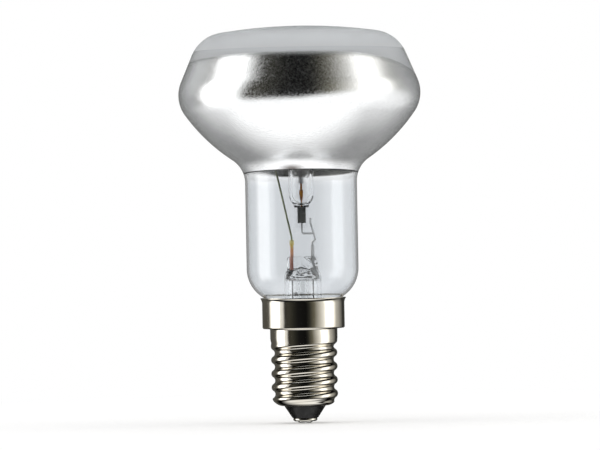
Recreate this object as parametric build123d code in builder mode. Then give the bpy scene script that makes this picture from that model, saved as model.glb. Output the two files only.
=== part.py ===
from build123d import *
import os
from math import cos, radians, sin, sqrt

# Reflector bulb with a small screw cap, standing on its centre contact.
# All sizes are in millimetres, +Z runs from the contact up to the face.

# Centre contact and insulator
solder_height = 0.35
solder_diameter = 3.0
contact_diameter = 5.0
contact_thickness = 0.7
contact_edge = 0.25
insulator_tip_diameter = 5.4
insulator_cone_height = 2.5
insulator_seat_height = 2.4

# Screw shell
shell_wall = 0.3
shell_mouth_diameter = 8.6
thread_pitch = 2.822
thread_crest_diameter = 13.8
thread_depth = 0.8
thread_ridge_width = 2.0
thread_lead_in = 0.35
thread_length = 13.6
thread_runout = 0.8
land_diameter = 13.9
land_height = 2.4
collar_diameter = 17.0
collar_height = 5.5
collar_edge = 0.25
lip_diameter = 17.8
lip_height = 0.85
lip_lead_room = 0.45

# Blown bulb
overall_length = 82.0
bulb_diameter = 50.0
neck_diameter = 23.1
seal_diameter = 15.0
seal_depth = 4.6
glass_wall = 0.8
face_radius = 110.0
shoulder_radius = 7.5
cone_angle = 23.0
belt_drop = 14.0
belt_radius = 7.0
flank_angle = 35.0
flank_radius = 37.0
throat_radius = 5.7
neck_base_radius = 7.0
seal_flare_radius = 2.5

# Mirror on the inside of the bulb
mirror_thickness = 0.15
mirror_top_drop = 5.6
mirror_bottom_drop = 30.4
mirror_edge_tilt = 3.5

# Glass stem and its exhaust tube
stem_diameter = 7.7
stem_wall = 0.75
stem_rim_height = 0.6
stem_flare_height = 1.4
stem_flare_radius = 0.8
stem_share = 0.69
press_taper = 1.8
press_height = 4.2
press_width = 6.4
press_depth = 2.6
press_edge_radius = 0.6
exhaust_diameter = 2.4
exhaust_wall = 0.4
exhaust_length = 15.5

# Wires
lead_spacing = 4.3
lead_diameter = 0.3
lead_bend_radius = 1.0
lead_hole_clearance = 0.05
lead_cross_height = 2.5
seal_wire_diameter = 0.7
seal_wire_share = 0.4
seal_wire_tail = 0.4
weld_knot_diameter = 0.95
weld_knot_length = 1.1
weld_knot_edge = 0.2
support_diameter = 0.4
support_reach = 6.7
support_rise = 21.5
support_start = 0.5
support_bend_radius = 3.0
support_overhang = 0.8
short_support_knee = 0.6
short_support_gap = 0.05
side_weld_diameter = 1.3
side_weld_clearance = 0.05

# Halogen burner
burner_drop = 26.5
burner_length = 21.8
burner_diameter = 5.2
burner_wall = 0.7
pinch_length = 4.3
pinch_width = 3.1
pinch_depth = 1.6
pinch_edge_radius = 0.5
foil_length = 3.6
foil_width = 1.65
foil_thickness = 0.1
foil_margin = 1.0
burner_lead_diameter = 0.4
burner_lead_length = 2.3
lead_turn_share = 0.2
filament_length = 12.0
filament_diameter = 1.1
filament_leg_diameter = 0.4
leg_sleeve_diameter = 0.75
leg_sleeve_length = 2.1
leg_sleeve_margin = 0.7

# Levels that the sizes above set
contact_z = solder_height
insulator_z = contact_z + contact_thickness
shell_z = insulator_z + insulator_cone_height
land_z = shell_z + thread_length
collar_z = land_z + land_height
lip_z = collar_z + collar_height
cap_top_z = lip_z + lip_height
seal_z = cap_top_z - seal_depth
belt_z = overall_length - belt_drop
mirror_top_z = overall_length - mirror_top_drop
mirror_bottom_z = overall_length - mirror_bottom_drop
burner_z = overall_length - burner_drop
pinch_end = burner_length / 2 + pinch_length
pinch_bottom_z = burner_z - pinch_end

# The stem takes its share of the height from the seal to the burner, and wires bridge the rest
press_top_z = seal_z + stem_share * (pinch_bottom_z - seal_z)
press_z = press_top_z - press_height
wire_gap = pinch_bottom_z - press_top_z
knot_z = press_top_z + seal_wire_share * wire_gap
lead_turn_z = pinch_bottom_z - lead_turn_share * wire_gap


def sweep_wire(points, diameter, bend_radius):
    """A round wire along straight runs with one bend radius."""
    with BuildPart() as wire:
        with BuildLine() as run:
            FilletPolyline(*points, radius=bend_radius)
        with BuildSketch(Plane(run.line @ 0, z_dir=run.line % 0)):
            Circle(diameter / 2)
        sweep(path=run.line)
    return wire.part


# Outline of the bulb: every round is a circle, tangent to its neighbours
def centre_along(start, direction, other_centre, distance):
    """The point from start along direction that lies at a distance from another centre."""
    offset_from_other = start - other_centre
    along = offset_from_other.dot(direction)
    rest = distance**2 - offset_from_other.dot(offset_from_other) + along**2
    return start + direction * (sqrt(rest) - along)


up = Vector(0, 1)
down = Vector(0, -1)
cone_normal = Vector(cos(radians(cone_angle)), sin(radians(cone_angle)))
cone_direction = Vector(-cone_normal.Y, cone_normal.X)
flank_normal = Vector(cos(radians(flank_angle)), -sin(radians(flank_angle)))
face_centre = Vector(0, overall_length - face_radius)
belt_centre = Vector(bulb_diameter / 2 - belt_radius, belt_z)
shoulder_centre = centre_along(
    belt_centre + cone_normal * (belt_radius - shoulder_radius),
    cone_direction,
    face_centre,
    face_radius - shoulder_radius,
)
flank_centre = belt_centre + flank_normal * (belt_radius - flank_radius)
throat_centre = centre_along(
    Vector(neck_diameter / 2 + throat_radius, flank_centre.Y),
    down,
    flank_centre,
    flank_radius + throat_radius,
)

# The glass passes the lip with room for the side lead between them
glass_at_lip = lip_diameter / 2 - shell_wall - lip_lead_room
seal_flare_x = seal_diameter / 2 + seal_flare_radius
seal_flare_drop = sqrt(seal_flare_radius**2 - (seal_flare_x - glass_at_lip) ** 2)
seal_flare_centre = Vector(seal_flare_x, cap_top_z - seal_flare_drop)
neck_base_centre = centre_along(
    Vector(neck_diameter / 2 - neck_base_radius, seal_flare_centre.Y),
    up,
    seal_flare_centre,
    neck_base_radius + seal_flare_radius,
)


def bulb_section(inset):
    """Half of the bulb's section, closed along the axis and drawn inside its skin by inset."""
    to_neck_base = (neck_base_centre - seal_flare_centre).normalized()
    to_flank = (flank_centre - throat_centre).normalized()
    to_shoulder = (shoulder_centre - face_centre).normalized()
    seal_edge = (seal_diameter / 2 - inset, seal_z)
    seal_top = (seal_diameter / 2 - inset, seal_flare_centre.Y)
    flare_end = seal_flare_centre + to_neck_base * (seal_flare_radius + inset)
    neck_bottom = (neck_diameter / 2 - inset, neck_base_centre.Y)
    neck_top = (neck_diameter / 2 - inset, throat_centre.Y)
    flank_bottom = throat_centre + to_flank * (throat_radius + inset)
    flank_top = belt_centre + flank_normal * (belt_radius - inset)
    cone_bottom = belt_centre + cone_normal * (belt_radius - inset)
    cone_top = shoulder_centre + cone_normal * (shoulder_radius - inset)
    face_edge = face_centre + to_shoulder * (face_radius - inset)
    crown = (0, overall_length - inset)
    with BuildSketch(Plane.XZ) as section:
        with BuildLine():
            Polyline((0, seal_z), seal_edge, seal_top)
            flare = TangentArc(seal_top, flare_end, tangent=up)
            TangentArc(flare_end, neck_bottom, tangent=flare % 1)
            Line(neck_bottom, neck_top)
            throat = TangentArc(neck_top, flank_bottom, tangent=up)
            flank = TangentArc(flank_bottom, flank_top, tangent=throat % 1)
            TangentArc(flank_top, cone_bottom, tangent=flank % 1)
            Line(cone_bottom, cone_top)
            shoulder = TangentArc(cone_top, face_edge, tangent=cone_direction)
            TangentArc(face_edge, crown, tangent=shoulder % 1)
            Line(crown, (0, seal_z))
        make_face()
    return section.sketch


# Blown glass bulb, open at the neck where the stem is fused in
with BuildPart() as outer_bulb:
    with BuildSketch(Plane.XZ):
        add(bulb_section(0))
        add(bulb_section(glass_wall), mode=Mode.SUBTRACT)
    revolve(axis=Axis.Z)

# Aluminium mirror on the inside, its lower edge a little lower at the back
with BuildPart() as mirror_coating:
    mirror_slack = bulb_diameter * sin(radians(mirror_edge_tilt))
    mirror_zone_height = mirror_top_z - mirror_bottom_z + mirror_slack
    with BuildSketch(Plane.XZ):
        add(bulb_section(glass_wall))
        add(bulb_section(glass_wall + mirror_thickness), mode=Mode.SUBTRACT)
        with Locations((0, mirror_top_z)):
            Rectangle(
                bulb_diameter,
                mirror_zone_height,
                align=(Align.MIN, Align.MAX),
                mode=Mode.INTERSECT,
            )
    revolve(axis=Axis.Z)
    split(
        bisect_by=Plane((0, 0, mirror_bottom_z)).rotated((-mirror_edge_tilt, 0, 0)),
        keep=Keep.TOP,
    )

# Glass stem: flared tube, fused to the neck below and pressed flat on the leads above
with BuildPart() as stem:
    tube_middle = (stem_diameter - stem_wall) / 2
    rim_middle = seal_diameter / 2 - glass_wall - stem_wall / 2
    rim_top_z = seal_z + stem_rim_height
    with BuildSketch(Plane.XZ):
        with BuildLine():
            FilletPolyline(
                (tube_middle, press_z),
                (tube_middle, rim_top_z + stem_flare_height),
                (rim_middle, rim_top_z),
                (rim_middle, seal_z),
                radius=stem_flare_radius,
            )
        trace(line_width=stem_wall)
    revolve(axis=Axis.Z)
    with BuildSketch(Plane.XY.offset(press_z)):
        Circle(stem_diameter / 2)
    with BuildSketch(Plane.XY.offset(press_z + press_taper)):
        SlotOverall(press_width, press_depth)
    loft()
    with BuildSketch(Plane.XY.offset(press_z + press_taper)):
        SlotOverall(press_width, press_depth)
    extrude(amount=press_height - press_taper)
    fillet(stem.edges().group_by(Axis.Z)[-1], press_edge_radius)
    with Locations((0, 0, press_z)):
        with GridLocations(lead_spacing, 0, 2, 1):
            Cylinder(
                seal_wire_diameter / 2,
                press_height,
                align=(Align.CENTER, Align.CENTER, Align.MIN),
                mode=Mode.SUBTRACT,
            )

# Exhaust tube, fused to the press and tipped off inside the cap
with BuildPart() as exhaust_tube:
    with BuildSketch(Plane.XZ):
        with BuildLine():
            tip_z = press_z - exhaust_length
            outside = exhaust_diameter / 2
            bore = outside - exhaust_wall
            RadiusArc((0, tip_z), (outside, tip_z + outside), -outside)
            Polyline((outside, tip_z + outside), (outside, press_z), (bore, press_z), (bore, tip_z + outside))
            RadiusArc((bore, tip_z + outside), (0, tip_z + exhaust_wall), bore)
            Line((0, tip_z + exhaust_wall), (0, tip_z))
        make_face()
    revolve(axis=Axis.Z)


# Seal wires, held gas-tight in the press; the left one ends in a weld knot
def seal_wire(place):
    """One straight seal wire, from below the press to its upper end."""
    with BuildPart() as wire:
        with Locations((place, 0, press_z - seal_wire_tail)):
            Cylinder(
                seal_wire_diameter / 2,
                knot_z - press_z + seal_wire_tail,
                align=(Align.CENTER, Align.CENTER, Align.MIN),
            )
    return wire.part


left_x = -lead_spacing / 2
right_x = lead_spacing / 2
right_seal_wire = seal_wire(right_x)
with BuildPart() as left_seal_wire:
    add(seal_wire(left_x))
    with Locations((left_x, 0, knot_z)):
        Cylinder(
            weld_knot_diameter / 2,
            weld_knot_length,
            align=(Align.CENTER, Align.CENTER, Align.MIN),
        )
    chamfer(left_seal_wire.edges().group_by(Axis.Z)[-1], weld_knot_edge)

# Halogen burner: quartz tube, pinched flat at both ends
burner_bottom_z = burner_z - burner_length / 2
foil_start = pinch_end - foil_margin - foil_length
foil_end = pinch_end - foil_margin
filament_end = filament_length / 2
chamber_end = burner_length / 2 - burner_wall
sleeve_end = chamber_end - leg_sleeve_margin
sleeve_start = sleeve_end - leg_sleeve_length


def pinched_piece(section_width, section_depth, start, end):
    """A flat piece in the lower pinch, measured down from the middle of the burner."""
    with BuildPart() as piece:
        with BuildSketch(Plane.XY.offset(burner_z - end)):
            Rectangle(section_width, section_depth)
        extrude(amount=end - start)
    return piece.part


def round_piece(diameter, start, end):
    """A round piece on the burner's axis, measured down from the middle of the burner."""
    with BuildPart() as piece:
        with BuildSketch(Plane.XY.offset(burner_z - end)):
            Circle(diameter / 2)
        extrude(amount=end - start)
    return piece.part


middle_plane = Plane.XY.offset(burner_z)
lower_foil = pinched_piece(foil_width, foil_thickness, foil_start, foil_end)
upper_foil = lower_foil.mirror(middle_plane)
filament = round_piece(filament_diameter, -filament_end, filament_end)
with BuildPart() as lower_filament_leg:
    add(round_piece(filament_leg_diameter, filament_end, foil_start))
    add(round_piece(leg_sleeve_diameter, sleeve_start, sleeve_end))
upper_filament_leg = round_piece(filament_leg_diameter, filament_end, foil_start).mirror(middle_plane)
upper_burner_lead = round_piece(
    burner_lead_diameter, foil_end, pinch_end + burner_lead_length
).mirror(middle_plane)

# Long support wire: from the weld knot up one side and over to the burner's upper lead
upper_lead_z = burner_z + pinch_end + burner_lead_length
long_support_wire = sweep_wire(
    [
        (left_x, 0, knot_z + weld_knot_length),
        (left_x, 0, knot_z + weld_knot_length + support_start),
        (-support_reach, 0, knot_z + weld_knot_length + support_rise),
        (-support_reach, 0, upper_lead_z + support_diameter / 2),
        (support_overhang, 0, upper_lead_z + support_diameter / 2),
    ],
    support_diameter,
    support_bend_radius,
)

# Short support wire: from the right seal wire to beside the lower pinch
short_support_x = pinch_width / 2 + support_diameter / 2 + short_support_gap
knee_x = right_x + short_support_knee
knee_z = knot_z + support_start + short_support_knee
short_support_wire = sweep_wire(
    [
        (right_x, 0, knot_z),
        (right_x, 0, knot_z + support_start),
        (knee_x, 0, knee_z),
        (short_support_x, 0, pinch_bottom_z + foil_margin),
        (short_support_x, 0, pinch_bottom_z + foil_margin + lead_bend_radius),
    ],
    support_diameter,
    short_support_knee / 2,
)

# Lower burner lead: out of the pinch and across to the short support wire
slant_share = (lead_turn_z - knee_z) / (pinch_bottom_z + foil_margin - knee_z)
slant_x = knee_x + (short_support_x - knee_x) * slant_share
with BuildPart() as lower_burner_lead:
    add(
        sweep_wire(
            [
                (0, 0, pinch_bottom_z + foil_margin),
                (0, 0, lead_turn_z),
                (slant_x, 0, lead_turn_z),
            ],
            burner_lead_diameter,
            lead_bend_radius / 2,
        )
    )
    add(short_support_wire, mode=Mode.SUBTRACT)

# Quartz tube, with the seats of what its pinches hold
with BuildPart() as burner_tube:
    with BuildSketch(Plane.XZ):
        with Locations((0, burner_z)):
            SlotOverall(burner_length, burner_diameter, rotation=90)
        split(bisect_by=Plane.YZ, keep=Keep.TOP)
    revolve(axis=Axis.Z)
    with BuildSketch(Plane.XY.offset(pinch_bottom_z)):
        RectangleRounded(pinch_width, pinch_depth, pinch_edge_radius)
    extrude(amount=2 * pinch_end)
    with BuildSketch(Plane.XZ):
        with Locations((0, burner_z)):
            SlotOverall(
                burner_length - 2 * burner_wall,
                burner_diameter - 2 * burner_wall,
                rotation=90,
            )
        split(bisect_by=Plane.YZ, keep=Keep.TOP)
    revolve(axis=Axis.Z, mode=Mode.SUBTRACT)
    add([lower_foil, upper_foil], mode=Mode.SUBTRACT)
    add([lower_filament_leg.part, upper_filament_leg], mode=Mode.SUBTRACT)
    add([lower_burner_lead.part, upper_burner_lead], mode=Mode.SUBTRACT)

# Rolled screw shell: plain core with one helical ridge, and a collar above its land
thread_crest = thread_crest_diameter / 2
thread_root = thread_crest - thread_depth
bore_radius = thread_root - shell_wall
shell_mouth = shell_mouth_diameter / 2
curl_radius = thread_crest + shell_wall - shell_mouth
with BuildPart() as screw_shell:
    with Locations((0, 0, shell_z)):
        Cylinder(
            thread_root,
            thread_length,
            align=(Align.CENTER, Align.CENTER, Align.MIN),
        )
    with BuildLine() as ridge_path:
        Helix(
            thread_pitch,
            thread_lead_in + thread_length + thread_ridge_width / 2,
            thread_root,
            center=(0, 0, shell_z - thread_lead_in),
        )
    with BuildSketch(
        Plane(ridge_path.line @ 0, x_dir=(1, 0, 0), z_dir=ridge_path.line % 0)
    ):
        with BuildLine():
            ridge_half = thread_ridge_width / 2
            ThreePointArc((0, -ridge_half), (thread_depth, 0), (0, ridge_half))
            Polyline(
                (0, ridge_half),
                (-shell_wall / 2, ridge_half),
                (-shell_wall / 2, -ridge_half),
                (0, -ridge_half),
            )
        make_face()
    sweep(path=ridge_path.line, is_frenet=True)
    # The lower end is curled in to hold the insulator
    with BuildSketch(Plane.XZ):
        with BuildLine():
            curl_end = (shell_mouth + curl_radius, shell_z + curl_radius)
            Polyline((0, land_z), (0, shell_z), (shell_mouth, shell_z))
            TangentArc((shell_mouth, shell_z), curl_end, tangent=(1, 0))
            Polyline(curl_end, (curl_end[0], land_z), (0, land_z))
        make_face()
    revolve(axis=Axis.Z, mode=Mode.INTERSECT)
    # The thread runs out into a plain land, then the collar steps out to its flared lip
    with BuildSketch(Plane.XZ):
        with BuildLine():
            Polyline(
                (0, land_z - thread_runout),
                (bore_radius, land_z - thread_runout),
                (land_diameter / 2, land_z),
                (land_diameter / 2, collar_z),
                (collar_diameter / 2 - collar_edge, collar_z),
                (collar_diameter / 2, collar_z + collar_edge),
                (collar_diameter / 2, lip_z),
                (lip_diameter / 2, cap_top_z),
                (0, cap_top_z),
                (0, land_z - thread_runout),
            )
        make_face()
    revolve(axis=Axis.Z)
    # Plain bore inside, one wall in from the thread, the land and the collar
    with BuildSketch(Plane.XZ):
        with BuildLine():
            curl_inner = curl_radius - shell_wall
            curl_centre_z = shell_z + curl_radius
            curl_rise = sqrt(curl_inner**2 - (bore_radius - shell_mouth) ** 2)
            Polyline((0, cap_top_z), (0, shell_z), (shell_mouth, shell_z), (shell_mouth, shell_z + shell_wall))
            RadiusArc(
                (shell_mouth, shell_z + shell_wall),
                (bore_radius, curl_centre_z - curl_rise),
                -curl_inner,
            )
            Polyline(
                (bore_radius, curl_centre_z - curl_rise),
                (bore_radius, land_z),
                (land_diameter / 2 - shell_wall, land_z + shell_wall),
                (land_diameter / 2 - shell_wall, collar_z + shell_wall),
                (collar_diameter / 2 - shell_wall, collar_z + shell_wall),
                (collar_diameter / 2 - shell_wall, lip_z),
                (lip_diameter / 2 - shell_wall, cap_top_z),
                (0, cap_top_z),
            )
        make_face()
    revolve(axis=Axis.Z, mode=Mode.SUBTRACT)

# Side lead: down the stem, across under the neck, and up to the lip behind it
lip_gap = lip_diameter / 2 - shell_wall - lip_lead_room / 2
collar_gap = (seal_diameter / 2 + collar_diameter / 2 - shell_wall) / 2
lead_cross_z = seal_z - lead_diameter - shell_wall
lead_bottom_z = press_z - seal_wire_tail


def behind(radius):
    """How far back a point in the side lead's plane lies, at a radius from the axis."""
    return sqrt(radius**2 - left_x**2)


side_lead = sweep_wire(
    [
        (left_x, 0, lead_bottom_z),
        (left_x, 0, lead_cross_z),
        (left_x, behind(collar_gap), lead_cross_z),
        (left_x, behind(collar_gap), lip_z),
        (left_x, behind(lip_gap), cap_top_z),
    ],
    lead_diameter,
    lead_diameter,
)

# Centre lead: down the stem and through the insulator to the centre contact
insulator_top_z = shell_z + insulator_seat_height
centre_lead = sweep_wire(
    [
        (right_x, 0, lead_bottom_z),
        (right_x, 0, press_z - exhaust_length),
        (0, 0, insulator_top_z + lead_cross_height),
        (0, 0, contact_z),
    ],
    lead_diameter,
    lead_bend_radius,
)
lead_hole = lead_diameter / 2 + lead_hole_clearance

# Black glass insulator, cast in the lower end of the shell
with BuildPart() as cap_insulator:
    with BuildSketch(Plane.XZ):
        with BuildLine():
            seat_radius = bore_radius - lead_hole_clearance
            seat_rise = sqrt(curl_inner**2 - (seat_radius - shell_mouth) ** 2)
            Polyline(
                (lead_hole, insulator_z),
                (insulator_tip_diameter / 2, insulator_z),
                (shell_mouth, shell_z),
                (shell_mouth, shell_z + shell_wall),
            )
            RadiusArc(
                (shell_mouth, shell_z + shell_wall),
                (seat_radius, curl_centre_z - seat_rise),
                -curl_inner,
            )
            Polyline(
                (seat_radius, curl_centre_z - seat_rise),
                (seat_radius, insulator_top_z),
                (lead_hole, insulator_top_z),
                (lead_hole, insulator_z),
            )
        make_face()
    revolve(axis=Axis.Z)

# Centre contact plate and the solder that closes its hole
with BuildPart() as contact_plate:
    with Locations((0, 0, contact_z)):
        Cylinder(
            contact_diameter / 2,
            contact_thickness,
            align=(Align.CENTER, Align.CENTER, Align.MIN),
        )
    chamfer(contact_plate.edges().group_by(Axis.Z)[0], contact_edge)
    with Locations((0, 0, contact_z)):
        Cylinder(
            lead_hole,
            contact_thickness,
            align=(Align.CENTER, Align.CENTER, Align.MIN),
            mode=Mode.SUBTRACT,
        )
with BuildPart() as contact_solder:
    Cylinder(
        solder_diameter / 2,
        solder_height,
        align=(Align.CENTER, Align.CENTER, Align.MIN),
    )
    chamfer(contact_solder.edges().group_by(Axis.Z)[0], solder_height / 2, solder_height)

# Capping cement between neck and collar, round the side lead
with BuildPart() as capping_cement:
    with BuildSketch(Plane.XZ):
        with BuildLine():
            Polyline(
                (0, seal_z),
                (collar_diameter / 2 - shell_wall, seal_z),
                (collar_diameter / 2 - shell_wall, lip_z),
                (lip_diameter / 2 - shell_wall, cap_top_z),
                (0, cap_top_z),
                (0, seal_z),
            )
        make_face()
        add(bulb_section(0), mode=Mode.SUBTRACT)
    revolve(axis=Axis.Z)
    add(side_lead, mode=Mode.SUBTRACT)

# Weld bead that joins the side lead to the lip and stands clear of the glass
with BuildPart() as side_weld:
    with Locations((left_x, behind(lip_gap), cap_top_z)):
        Sphere(side_weld_diameter / 2)
    split(bisect_by=Plane.XY.offset(cap_top_z), keep=Keep.TOP)
    with BuildSketch(Plane.XZ):
        add(bulb_section(-side_weld_clearance))
    revolve(axis=Axis.Z, mode=Mode.SUBTRACT)
    add(side_lead, mode=Mode.SUBTRACT)

pieces = {
    "outer_bulb": outer_bulb.part,
    "mirror_coating": mirror_coating.part,
    "stem": stem.part,
    "exhaust_tube": exhaust_tube.part,
    "left_seal_wire": left_seal_wire.part,
    "right_seal_wire": right_seal_wire,
    "long_support_wire": long_support_wire,
    "short_support_wire": short_support_wire,
    "burner_tube": burner_tube.part,
    "lower_foil": lower_foil,
    "upper_foil": upper_foil,
    "lower_burner_lead": lower_burner_lead.part,
    "upper_burner_lead": upper_burner_lead,
    "lower_filament_leg": lower_filament_leg.part,
    "upper_filament_leg": upper_filament_leg,
    "filament": filament,
    "screw_shell": screw_shell.part,
    "side_lead": side_lead,
    "centre_lead": centre_lead,
    "cap_insulator": cap_insulator.part,
    "contact_plate": contact_plate.part,
    "contact_solder": contact_solder.part,
    "capping_cement": capping_cement.part,
    "side_weld": side_weld.part,
}
os.makedirs("parts", exist_ok=True)
for name, piece in pieces.items():
    piece.label = name
    export_step(piece, f"parts/{name}.step")
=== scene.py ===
from math import cos, pi, radians, sin, sqrt

import bmesh
import bpy
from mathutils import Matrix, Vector


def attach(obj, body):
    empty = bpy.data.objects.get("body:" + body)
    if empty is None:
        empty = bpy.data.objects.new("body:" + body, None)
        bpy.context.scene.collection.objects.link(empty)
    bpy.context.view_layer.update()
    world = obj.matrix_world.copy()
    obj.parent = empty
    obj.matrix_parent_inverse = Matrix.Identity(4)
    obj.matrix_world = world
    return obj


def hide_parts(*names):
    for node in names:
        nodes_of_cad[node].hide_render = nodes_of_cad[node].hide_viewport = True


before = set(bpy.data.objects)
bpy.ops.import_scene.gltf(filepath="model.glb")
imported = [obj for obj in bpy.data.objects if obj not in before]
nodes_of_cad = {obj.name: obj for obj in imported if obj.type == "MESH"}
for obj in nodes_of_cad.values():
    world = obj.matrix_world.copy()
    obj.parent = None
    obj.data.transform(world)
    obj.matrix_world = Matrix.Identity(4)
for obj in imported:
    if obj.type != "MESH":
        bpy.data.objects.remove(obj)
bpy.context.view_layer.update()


# Camera
# A long lens, level with the middle of the neck, as for a catalogue picture. It is rolled by about
# a degree, because the lamp leans that much to the left.
mm = 0.001
picture_width = 600
pixels_per_mm = 4.84
eye_height = 40.9 * mm
eye_left = 0.37 * mm
eye_distance = 1000 * mm
lamp_lean = radians(1.06)
sensor_width = 36
field_width = picture_width / pixels_per_mm * mm

scene = bpy.context.scene
scene.view_settings.view_transform = "Standard"
scene.cycles.max_bounces = 32
scene.cycles.transmission_bounces = 32
scene.cycles.glossy_bounces = 12

eye = bpy.data.cameras.new("catalogue_camera")
eye.sensor_width = sensor_width
eye.lens = sensor_width * eye_distance / field_width
camera = bpy.data.objects.new("catalogue_camera", eye)
camera.location = (-eye_left, -eye_distance, eye_height)
camera.rotation_euler = (radians(90), lamp_lean, 0)
scene.collection.objects.link(camera)
scene.camera = camera


# Studio lamps
# Two tall softboxes stand left and right of the lamp and light its dull pieces and the floor. What
# glass and metal show of them is drawn on the walls of the room below.
box_width = 640 * mm
box_height = 1100 * mm
box_distance = 700 * mm
box_centre = 430 * mm
box_brightness = 0.6
watts_per_brightness = 4.0


def softbox(name, turn, colour):
    """A tall softbox, turned round the lamp from the camera's side, to the right where positive."""
    light = bpy.data.lights.new(name, "AREA")
    light.shape = "RECTANGLE"
    light.size = box_width
    light.size_y = box_height
    light.color = colour
    light.energy = box_brightness * watts_per_brightness * box_width * box_height
    lamp = bpy.data.objects.new(name, light)
    lamp.location = (sin(turn) * box_distance, -cos(turn) * box_distance, box_centre)
    inward = Vector((-lamp.location.x, -lamp.location.y, 0))
    lamp.rotation_euler = inward.to_track_quat("-Z", "Y").to_euler()
    lamp.visible_camera = False
    lamp.visible_glossy = False
    lamp.visible_transmission = False
    scene.collection.objects.link(lamp)


softbox("left_softbox", turn=radians(-82), colour=(1.0, 0.985, 0.965))
softbox("right_softbox", turn=radians(84), colour=(1.0, 0.975, 0.93))


# Room
# The picture's ground is plain white, also as seen straight through glass. Whatever is mirrored sees
# a room drawn on the world instead: walls with two bright softboxes, a pale ceiling, a table that is
# lighter to its sides, and a grey backdrop. Deep in the glass it is the softboxes on white.
studio = bpy.data.worlds.new("studio_room")
studio.use_nodes = True
studio.cycles.sampling_method = "NONE"
scene.world = studio
room = studio.node_tree
room.nodes.clear()


def feed(socket, source):
    """Links a socket to the value of another node, or sets it to a plain value."""
    if isinstance(source, bpy.types.NodeSocket):
        socket.id_data.links.new(source, socket)
    else:
        socket.default_value = source


def place(tree, kind, *sources, **settings):
    """Adds one node to a tree, with its settings and what feeds its first inputs."""
    made = tree.nodes.new(kind)
    for key, value in settings.items():
        setattr(made, key, value)
    for socket, source in zip(made.inputs, sources):
        feed(socket, source)
    return made


def parts_of(tree, vector):
    """The parts X, Y and Z of a place or a direction."""
    return place(tree, "ShaderNodeSeparateXYZ", vector).outputs


def sum_of(tree, operation, *sources):
    """Works out one value from others."""
    return place(tree, "ShaderNodeMath", *sources, operation=operation).outputs[0]


def vector_sum(tree, operation, *sources):
    """Works out one place, direction, colour or length from others."""
    made = place(tree, "ShaderNodeVectorMath", *sources, operation=operation)
    return made.outputs["Value" if operation in ("DOT_PRODUCT", "LENGTH") else "Vector"]


def share_of(tree, value, start, end, low=0, high=1, soft=True):
    """Goes from low to high while a value goes from start to end, and is held beyond them."""
    change = "SMOOTHSTEP" if soft else "LINEAR"
    made = place(tree, "ShaderNodeMapRange", value, start, end, low, high, interpolation_type=change)
    return made.outputs[0]


def tone_of(tree, value, stops):
    """Picks a colour between stops of place and colour."""
    made = place(tree, "ShaderNodeValToRGB", value)
    tones = made.color_ramp.elements
    tones.remove(tones[-1])
    first_place, first_colour = stops[0]
    tones[0].position = first_place
    tones[0].color = (*first_colour, 1)
    for stop_place, colour in stops[1:]:
        tones.new(stop_place).color = (*colour, 1)
    return made.outputs["Color"]


def grey(tone):
    """A colour without a tint."""
    return (tone, tone, tone)


def mix_of(tree, kind, share, first, second):
    """Goes from a first value or colour to a second one."""
    made = place(tree, "ShaderNodeMix", data_type=kind)
    for name, source in (("Factor", share), ("A", first), ("B", second)):
        feed(made.inputs[name], source)
    return made.outputs["Result"]


def glow(colour, strength):
    """A light of the room."""
    return place(room, "ShaderNodeBackground", colour, strength).outputs[0]


def blend_of(tree, share, first, second):
    """Goes from one shader to another."""
    return place(tree, "ShaderNodeMixShader", share, first, second).outputs[0]


way = place(room, "ShaderNodeTexCoord").outputs["Generated"]
way_right, way_back, way_up = parts_of(room, way)
ray = place(room, "ShaderNodeLightPath").outputs
some_bounce = 0.5
behind_glass = sum_of(room, "GREATER_THAN", ray["Transmission Depth"], some_bounce)

# Walls, by bearing in degrees from the camera's side, to the right where positive. Bare metal sees
# them near its own level only.
left_box_tone = (1.3, 1.296, 1.285)
back_tone = (0.04, 0.04, 0.036)
wall_tones = [
    (-180, back_tone),
    (-126, (0.045, 0.043, 0.038)),
    (-113, (0.07, 0.068, 0.062)),
    (-105, (0.60, 0.598, 0.59)),
    (-99, left_box_tone),
    (-74, left_box_tone),
    (-68, (0.50, 0.50, 0.495)),
    (-60, (0.42, 0.42, 0.415)),
    (-54, (0.022, 0.021, 0.018)),
    (-42, (0.026, 0.025, 0.020)),
    (-28, (0.012, 0.012, 0.010)),
    (-16, grey(0.005)),
    (8, grey(0.003)),
    (17, (0.014, 0.014, 0.012)),
    (31, (0.072, 0.068, 0.052)),
    (47, (0.28, 0.274, 0.256)),
    (60, (0.48, 0.475, 0.455)),
    (70, (1.05, 1.04, 1.01)),
    (92, (0.85, 0.84, 0.81)),
    (104, (0.28, 0.275, 0.26)),
    (124, (0.13, 0.128, 0.12)),
    (142, (0.015, 0.015, 0.014)),
    (180, back_tone),
]
half_turn = 180
wall_stops = [((turn + half_turn) / (2 * half_turn), tone) for turn, tone in wall_tones]
wall_light = 2.3
wall_top_light = wall_light * 0.62
softbox_slant = -0.10
towards_camera = sum_of(room, "MULTIPLY", way_back, -1)
bearing = sum_of(room, "ARCTAN2", way_right, towards_camera)
slanted_bearing = sum_of(room, "MULTIPLY_ADD", way_up, softbox_slant, bearing)
round_share = share_of(room, slanted_bearing, start=-pi, end=pi, soft=False)
wall_colour = tone_of(room, round_share, wall_stops)
wall_height_light = share_of(
    room, way_up, start=0.3, end=0.75, low=wall_light, high=wall_top_light, soft=False
)
steepness = sum_of(room, "ABSOLUTE", way_up)
wall_near = share_of(room, steepness, start=0.34, end=0.58, low=1, high=0)
wall_seen = sum_of(room, "MAXIMUM", wall_near, behind_glass)
wall_strength = sum_of(room, "MULTIPLY", wall_height_light, wall_seen)
walls = glow(wall_colour, wall_strength)

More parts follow.
